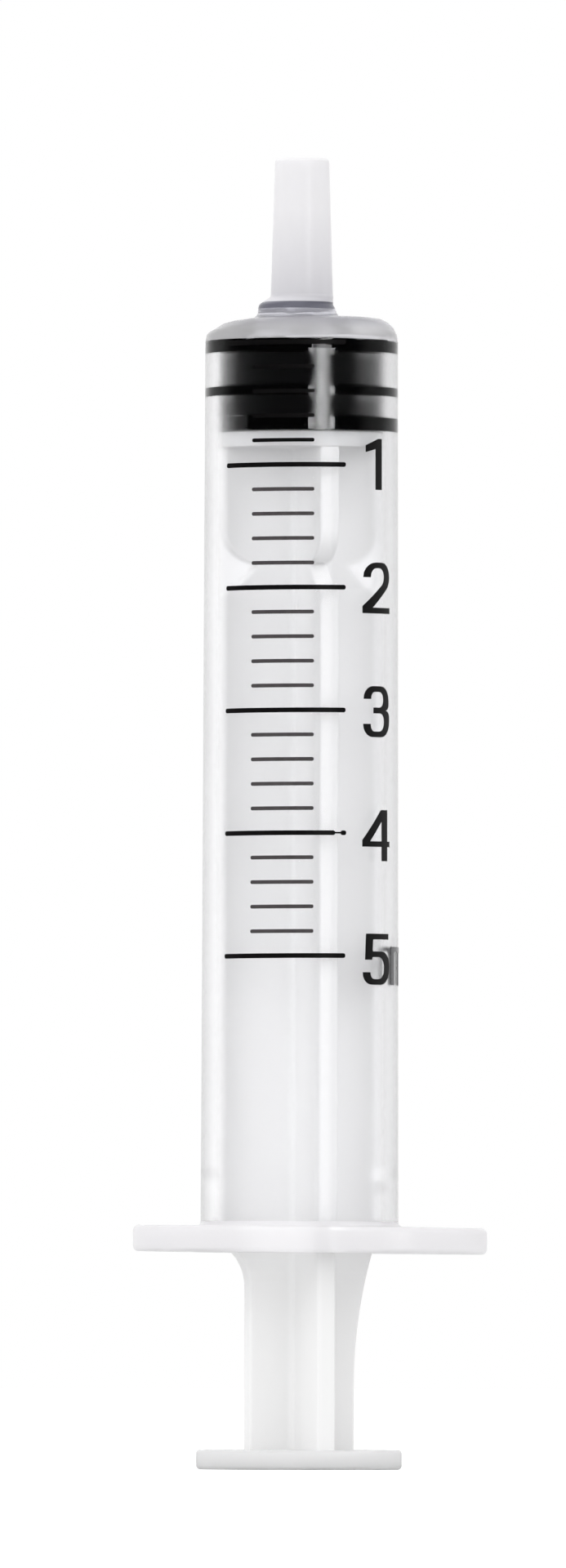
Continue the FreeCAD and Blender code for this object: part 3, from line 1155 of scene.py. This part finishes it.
@dataclass
class PrintedScale:
    """The scale printed round the front of the tube: marks, figures and the unit.

    It is drawn flat, with the length round the tube as X, and then wrapped round the barrel.
    """

    barrel: Barrel
    zero_mark: float = 81.2
    marks_per_ml: int = 5
    capacity: int = 5
    half_angle: float = 19.0
    long_half_angle: float = 38.5
    height: float = 0.27
    long_height: float = 0.34
    mark_rounding: float = 0.42
    marks_on_gasket: int = 4
    worn_mark: int = 4
    worn_degrees: tuple[float, float] = (32.0, 35.5)
    worn_overlap: float = 0.1
    worn_height_share: float = 0.35
    worn_mark_extra: float = 0.5
    figure_size: tuple[float, float] = (3.15, 3.68)
    figure_angle: float = 63.2
    figure_drift: float = 0.08
    unit_angle: float = 78.5
    skew: float = 0.005
    ink_lift: float = 0.04
    ink_root: float = 0.004
    bend_step: float = 0.37
    bend_columns: range = range(-14, 41)
    finish: ScreenInk = field(default_factory=ScreenInk)
    thin_finish: ScreenInk = field(default_factory=lambda: ScreenInk(
        name="black_screen_ink_thin", colour="#3A3738", thin="#4E4A4B",
    ))
    # The unit's lighter grey colour is painted sheen, on top of its real gloss.
    unit_finish: ScreenInk = field(default_factory=lambda: ScreenInk(
        name="black_screen_ink_glossy_painted_sheen", colour="#38383A", thin="#505053", roughness=0.25,
        specular_level=0.5,
    ))

    def ml_length(self) -> float:
        """Gives the length of bore that holds one millilitre, in millimetres."""
        return 1000 / (math.pi * BORE_RADIUS ** 2)

    def arc(self, degrees: float) -> float:
        """Gives the length round the tube for an angle, in millimetres."""
        across = self.barrel.tube_at_flange + self.barrel.tube_at_shoulder
        return math.radians(degrees) * across / 2

    def strip(
        self, mesh: Mesh, z: float, start: float, end: float, height: float, ink: Ink = Ink.BLACK,
    ) -> None:
        """Draws one flat mark with rounded ends.

        Args:
            mesh: The flat print.
            z: Height of the mark's middle.
            start: Where it starts round the tube, in degrees from the front.
            end: Where it ends.
            height: Its width along the tube, in millimetres.
            ink: Its ink.
        """
        low, high = (z - height / 2) * MM, (z + height / 2) * MM
        left, right = self.arc(start) * MM, self.arc(end) * MM
        corners = [
            mesh.verts.new(place)
            for place in ((left, 0, low), (right, 0, low), (right, 0, high), (left, 0, high))
        ]
        mesh.faces.new(corners).material_index = ink
        round_off(mesh, corners, height * self.mark_rounding, 3)

    def marks(self) -> Mesh:
        """Draws all the marks flat; the one at 4 ml is worn thin near its right end.

        The short marks are thin ink, apart from the first ones, where the black gasket is behind
        them and grey ink would show as grey lines.
        """
        mesh = bmesh.new()
        span = self.long_half_angle
        for number in range(self.capacity * self.marks_per_ml + 1):
            z = self.zero_mark - number * self.ml_length() / self.marks_per_ml
            if number % self.marks_per_ml:
                ink = Ink.THIN if number > self.marks_on_gasket else Ink.BLACK
                self.strip(mesh, z, -self.half_angle, self.half_angle, self.height, ink)
            elif number == self.worn_mark * self.marks_per_ml:
                start, end = self.worn_degrees
                lap, thin = self.worn_overlap, self.long_height * self.worn_height_share
                self.strip(mesh, z, -span, start, self.long_height)
                self.strip(mesh, z, start - lap, end + lap, thin)
                self.strip(mesh, z, end, span + self.worn_mark_extra, self.long_height)
            else:
                self.strip(mesh, z, -span, span, self.long_height)
        return mesh

    def glyph(self, mesh: Mesh, letter: str, place: Vector) -> None:
        """Draws one figure or letter flat from its outlines; an outline inside another is a hole.

        Args:
            mesh: The flat print.
            letter: Which figure or letter.
            place: Lower left corner of its box, in metres.
        """
        flat = bmesh.new()
        for outline in GLYPHS[letter]:
            draw_outline(flat, outline, closed=True)
        bmesh.ops.triangle_fill(flat, use_beauty=True, edges=flat.edges[:])
        bmesh.ops.translate(flat, verts=flat.verts[:], vec=place)
        data = bpy.data.meshes.new("glyph")
        flat.to_mesh(data)
        flat.free()
        mesh.from_mesh(data)
        bpy.data.meshes.remove(data)

    def figure_corner(self, number: int, degrees: float, share: float) -> Vector:
        """Gives the lower left corner of a figure's box, in metres.

        Args:
            number: Which long mark it stands beside.
            degrees: Its place round the tube.
            share: Share of the box's width to the left of that place.

        Returns:
            The corner in the flat print.
        """
        width, tall = self.figure_size
        z = self.zero_mark - number * self.ml_length() - (number - 2) * self.figure_drift
        return Vector((self.arc(degrees) - share * width, 0, z - tall / 2)) * MM

    def figures(self) -> Mesh:
        """Draws the figures beside the long marks, set a little wider apart than the marks."""
        mesh = bmesh.new()
        for number in range(1, self.capacity + 1):
            self.glyph(mesh, str(number), self.figure_corner(number, self.figure_angle, 0.5))
        return mesh

    def unit(self) -> Mesh:
        """Draws the unit after the last figure."""
        mesh = bmesh.new()
        for letter in "ml":
            self.glyph(mesh, letter, self.figure_corner(self.capacity, self.unit_angle, 0))
        return mesh

    def wrap(self, mesh: Mesh) -> None:
        """Gives the flat print its film thickness and bends it round the tube."""
        bmesh.ops.remove_doubles(mesh, verts=mesh.verts[:], dist=WELD)
        for column in self.bend_columns:
            bmesh.ops.bisect_plane(
                mesh, geom=mesh.verts[:] + mesh.edges[:] + mesh.faces[:], dist=WELD,
                plane_co=(column * self.bend_step * MM, 0, 0), plane_no=(1, 0, 0),
            )
        for vert in mesh.verts:
            vert.co.y = self.ink_root * MM
        extrude(mesh, mesh.faces[:], (0, -(self.ink_lift + self.ink_root) * MM, 0))
        for vert in mesh.verts:
            turn = vert.co.x / (self.arc(math.degrees(1)) * MM)
            height = vert.co.z / MM + self.skew * vert.co.x / MM
            radius = self.barrel.tube_radius(height) * MM - vert.co.y
            vert.co = (radius * math.sin(turn), -radius * math.cos(turn), height * MM)
        close_up(mesh)

    def build(self) -> None:
        """Builds and dresses the marks, the figures and the unit."""
        for name, mesh, inks, node in (
            ("scale_marks", self.marks(), [self.finish, self.thin_finish], "scale_print"),
            ("scale_figures", self.figures(), [self.finish], None),
            ("scale_unit", self.unit(), [self.unit_finish], None),
        ):
            self.wrap(mesh)
            finish_piece(to_object(name, mesh), Body.BARREL, inks, node)


@dataclass
class PhotoCamera:
    """The camera, low and far away, a little to the right of the scale's middle."""

    distance: float = 1600.0
    azimuth_degrees: float = 11.4
    height: float = 8.1
    aim_height: float = 49.52
    shift_left: float = 1.27
    frame_height: float = 113.28
    roll_degrees: float = 0.15
    sensor_height: float = 24.0
    clip_metres: tuple[float, float] = (0.05, 20.0)

    def build(self) -> None:
        """Makes the camera and sets it as the scene's own."""
        azimuth = math.radians(self.azimuth_degrees)
        back = Vector((math.sin(azimuth), -math.cos(azimuth), 0))
        right = Vector((math.cos(azimuth), math.sin(azimuth), 0))
        aside = right * -self.shift_left
        place = (back * self.distance + aside + Vector((0, 0, self.height))) * MM
        target = (aside + Vector((0, 0, self.aim_height))) * MM
        data = bpy.data.cameras.new("camera")
        data.sensor_fit = "VERTICAL"
        data.sensor_height = self.sensor_height
        data.lens = self.sensor_height * self.distance / self.frame_height
        data.clip_start, data.clip_end = self.clip_metres
        camera = bpy.data.objects.new("camera", data)
        look = (target - place).to_track_quat("-Z", "Y").to_matrix().to_4x4()
        roll = Matrix.Rotation(math.radians(self.roll_degrees), 4, "Z")
        camera.matrix_world = Matrix.Translation(place) @ look @ roll
        bpy.context.scene.collection.objects.link(camera)
        bpy.context.scene.camera = camera


@dataclass
class Studio:
    """A white room: pale floor, even white surround, a soft key, and a strip of light for gloss.

    Mirrored light finds a dark front, a bright back and the strip. Light that stays in the clear
    wall finds the same brightness all round, so that the wall has no dark edges.
    """

    soft_left: float = 1.12
    soft_right: float = 1.08
    soft_reach: float = 0.7
    front_share: float = 1.31
    back_share: float = 1.0
    back_blend: float = 0.15
    gain_through_wall: float = 1.95
    front_gloss: float = 0.03
    back_gloss: float = 0.6
    edge_gloss: float = 1.0
    edge_range: tuple[float, float] = (0.5, 0.8)
    wall_gloss: float = 1.18
    right_shade: float = 0.67
    right_reach: float = 0.6
    strip_degrees: float = 38.4
    strip_half_width: float = 8.5
    strip_blend: float = 0.15
    strip_top: float = 0.045
    strip_top_blend: float = 0.01
    strip_gloss: float = 12.0
    floor_radius: float = 4.0
    floor_grey: float = 0.8
    floor_shadow_grey: float = 0.4
    floor_glow: float = 0.75
    floor_blend: float = 0.05
    key_watts: float = 1.6
    key_place: tuple[float, float, float] = (-0.9, -1.1, 1.0)
    key_size: float = 0.8
    key_aim_height: float = 0.05

    def gloss_rays(self, tree: Tree, path: bpy.types.Node) -> tuple[Socket, Socket]:
        """Tells mirrored rays from others, and those that are still in the clear wall.

        Args:
            tree: The nodes of the world or the floor.
            path: Their Light Path node.

        Returns:
            A socket for all mirrored rays, and one for rays that passed one or two surfaces.
        """
        mirrored = add_node(tree, "ShaderNodeMath", {"operation": "GREATER_THAN"}, {
            0: path.outputs["Glossy Depth"], 1: 0.5,
        })
        in_wall = add_node(tree, "ShaderNodeMath", {"operation": "COMPARE"}, {
            0: path.outputs["Transmission Depth"], 1: 1.5, 2: 1.0,
        })
        return mirrored.outputs[0], in_wall.outputs[0]

    def strip(self, tree: Tree, place: Socket, height: Socket) -> Socket:
        """Adds the strip of light that only mirrored rays find, to the right of the camera.

        Args:
            tree: The world's nodes.
            place: Direction of the ray.
            height: The direction's upward share.

        Returns:
            The strip's strength.
        """
        turn = math.radians(self.strip_degrees)
        half = math.radians(self.strip_half_width)
        toward = add_node(tree, "ShaderNodeVectorMath", {"operation": "DOT_PRODUCT"}, {
            0: place, 1: (math.sin(turn), -math.cos(turn), 0),
        })
        across = add_node(tree, "ShaderNodeMapRange", inputs={
            "Value": toward.outputs["Value"],
            "From Min": math.cos(half * (1 + self.strip_blend)),
            "From Max": math.cos(half * (1 - self.strip_blend)),
        })
        below = add_node(tree, "ShaderNodeMapRange", inputs={
            "Value": height,
            "From Min": self.strip_top + self.strip_top_blend,
            "From Max": self.strip_top - self.strip_top_blend,
            "To Max": self.strip_gloss,
        })
        return add_node(tree, "ShaderNodeMath", {"operation": "MULTIPLY"}, {
            0: across.outputs["Result"], 1: below.outputs["Result"],
        }).outputs[0]

    def scattered_light(
        self, tree: Tree, through_wall: Socket, depth: Socket, soft: Socket,
    ) -> Socket:
        """Adds the light for rays that a matt or milky surface scattered.

        Args:
            tree: The world's nodes.
            through_wall: Whether the ray came through the clear wall, which takes some of it.
            depth: The direction's share towards the back.
            soft: The room's level from left to right.

        Returns:
            The level of light.
        """
        facing = add_node(tree, "ShaderNodeMapRange", inputs={
            "Value": depth, "From Min": -1.0, "From Max": 1.0,
            "To Min": self.front_share, "To Max": self.back_share,
        })
        room = add_node(tree, "ShaderNodeMath", {"operation": "MULTIPLY"}, {
            0: soft, 1: facing.outputs["Result"],
        })
        gain = add_node(tree, "ShaderNodeMapRange", inputs={
            "Value": through_wall, "To Min": 1.0, "To Max": self.gain_through_wall,
        })
        return add_node(tree, "ShaderNodeMath", {"operation": "MULTIPLY"}, {
            0: room.outputs[0], 1: gain.outputs["Result"],
        }).outputs[0]

    def world(self) -> None:
        """Makes the surround: white to the camera, and one level for each other kind of ray."""
        world = bpy.data.worlds.new("white_room")
        world.use_nodes = True
        world.cycles.sampling_method = "NONE"
        bpy.context.scene.world = world
        tree = world.node_tree
        tree.nodes.clear()
        path = add_node(tree, "ShaderNodeLightPath")
        place = add_node(tree, "ShaderNodeTexCoord").outputs["Generated"]
        axes = add_node(tree, "ShaderNodeSeparateXYZ", inputs={0: place})
        across, depth, height = axes.outputs
        mirrored, in_wall = self.gloss_rays(tree, path)
        behind = add_node(tree, "ShaderNodeMapRange", inputs={
            "Value": depth, "From Min": -self.back_blend, "From Max": self.back_blend,
        })
        soft = add_node(tree, "ShaderNodeMapRange", inputs={
            "Value": across, "From Min": -self.soft_reach, "From Max": self.soft_reach,
            "To Min": self.soft_left, "To Max": self.soft_right,
        }).outputs["Result"]
        right = add_node(tree, "ShaderNodeMapRange", inputs={
            "Value": across, "From Max": self.right_reach,
            "To Min": 1.0, "To Max": self.right_shade,
        }).outputs["Result"]
        edge = add_node(tree, "ShaderNodeMapRange", inputs={
            "Value": depth, "From Min": self.edge_range[0], "From Max": self.edge_range[1],
            "To Min": self.back_gloss, "To Max": self.edge_gloss,
        })
        room_gloss = add_node(tree, "ShaderNodeMix", inputs={
            0: behind.outputs["Result"], 2: self.front_gloss, 3: edge.outputs["Result"],
        })
        strength = add_node(tree, "ShaderNodeMix", inputs={
            0: in_wall, 2: room_gloss.outputs[0], 3: self.wall_gloss,
        })
        gloss = add_node(tree, "ShaderNodeMath", {"operation": "MULTIPLY_ADD"}, {
            0: right, 1: strength.outputs[0], 2: self.strip(tree, place, height),
        })
        clear = add_node(tree, "ShaderNodeMix", inputs={
            0: behind.outputs["Result"], 2: soft, 3: right,
        })
        shown = add_node(tree, "ShaderNodeMix", inputs={
            0: path.outputs["Is Transmission Ray"], 2: soft, 3: clear.outputs[0],
        })
        glossy = add_node(tree, "ShaderNodeMix", inputs={
            0: mirrored, 2: shown.outputs[0], 3: gloss.outputs[0],
        })
        scattered = add_node(tree, "ShaderNodeMath", {"operation": "GREATER_THAN"}, {
            0: path.outputs["Diffuse Depth"], 1: 0.5,
        })
        settled = add_node(tree, "ShaderNodeMix", inputs={
            0: scattered.outputs[0],
            2: glossy.outputs[0],
            3: self.scattered_light(tree, path.outputs["Is Transmission Ray"], depth, soft),
        })
        level = add_node(tree, "ShaderNodeMix", inputs={
            0: path.outputs["Is Camera Ray"], 2: settled.outputs[0], 3: 1.0,
        })
        light = add_node(tree, "ShaderNodeBackground", inputs={
            "Color": WHITE, "Strength": level.outputs[0],
        })
        add_node(tree, "ShaderNodeOutputWorld", inputs={"Surface": light.outputs[0]})

    def floor_gloss(self, tree: Tree, in_wall: Socket) -> bpy.types.Node:
        """Adds what mirrored rays find on the floor: dark in front and white behind.

        Args:
            tree: The floor's nodes.
            in_wall: Whether the ray is still in the clear wall, which sees white all round.

        Returns:
            The emission node.
        """
        place = add_node(tree, "ShaderNodeTexCoord")
        axes = add_node(tree, "ShaderNodeSeparateXYZ", inputs={0: place.outputs["Object"]})
        sheen = add_node(tree, "ShaderNodeMapRange", inputs={
            "Value": axes.outputs["Y"],
            "From Min": -self.floor_blend, "From Max": self.floor_blend,
            "To Min": self.front_gloss, "To Max": 1.0,
        })
        level = add_node(tree, "ShaderNodeMix", inputs={
            0: in_wall, 2: sheen.outputs["Result"], 3: 1.0,
        })
        return add_node(tree, "ShaderNodeEmission", inputs={
            "Color": WHITE, "Strength": level.outputs[0],
        })

    def floor(self) -> None:
        """Lays a white floor that keeps the object's shadow, and is dark in front for gloss."""
        mesh = bmesh.new()
        bmesh.ops.create_circle(mesh, cap_ends=True, radius=self.floor_radius, segments=64)
        floor = to_object("floor", mesh)
        material = empty_material("matt_white_floor")
        tree = material.node_tree
        path = add_node(tree, "ShaderNodeLightPath")
        mirrored, in_wall = self.gloss_rays(tree, path)
        seen = add_node(tree, "ShaderNodeMath", {"operation": "MAXIMUM"}, {
            0: path.outputs["Is Camera Ray"], 1: path.outputs["Is Transmission Ray"],
        })
        matt, shadow = (
            add_node(tree, "ShaderNodeBsdfDiffuse", inputs={"Color": (grey, grey, grey, 1.0)})
            for grey in (self.floor_grey, self.floor_shadow_grey)
        )
        glow = add_node(tree, "ShaderNodeEmission", inputs={
            "Color": WHITE, "Strength": self.floor_glow,
        })
        pale = add_node(tree, "ShaderNodeAddShader", inputs={
            0: shadow.outputs[0], 1: glow.outputs[0],
        })
        plain = add_node(tree, "ShaderNodeMixShader", inputs={
            0: seen.outputs[0], 1: matt.outputs[0], 2: pale.outputs[0],
        })
        shown = add_node(tree, "ShaderNodeMixShader", inputs={
            0: mirrored, 1: plain.outputs[0], 2: self.floor_gloss(tree, in_wall).outputs[0],
        })
        add_node(tree, "ShaderNodeOutputMaterial", inputs={"Surface": shown.outputs[0]})
        floor.data.materials.append(material)

    def key_lamp(self) -> None:
        """Hangs the soft key lamp to the left in front; gloss and glass don't see it."""
        place = Vector(self.key_place)
        data = bpy.data.lights.new("key", "AREA")
        data.shape = "RECTANGLE"
        data.size = data.size_y = self.key_size
        data.energy = self.key_watts
        key = bpy.data.objects.new("key", data)
        key.location = place
        aim = Vector((0, 0, self.key_aim_height)) - place
        key.rotation_euler = aim.to_track_quat("-Z", "Y").to_euler()
        key.visible_glossy = False
        key.visible_transmission = False
        bpy.context.scene.collection.objects.link(key)

    def build(self) -> None:
        """Sets up the room and its lamp."""
        self.world()
        self.floor()
        self.key_lamp()
        bpy.context.scene.view_settings.view_transform = "Standard"


def main() -> None:
    """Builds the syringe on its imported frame, then the room and the camera."""
    logging.basicConfig(level=logging.INFO, format="%(name)s: %(message)s")
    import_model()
    PhotoCamera().build()
    barrel = Barrel()
    barrel.build()
    head = SnapHead()
    Gasket(head).build()
    PlungerRod(head).build()
    PrintedScale(barrel).build()
    Studio().build()


if __name__ == "__main__":
    main()
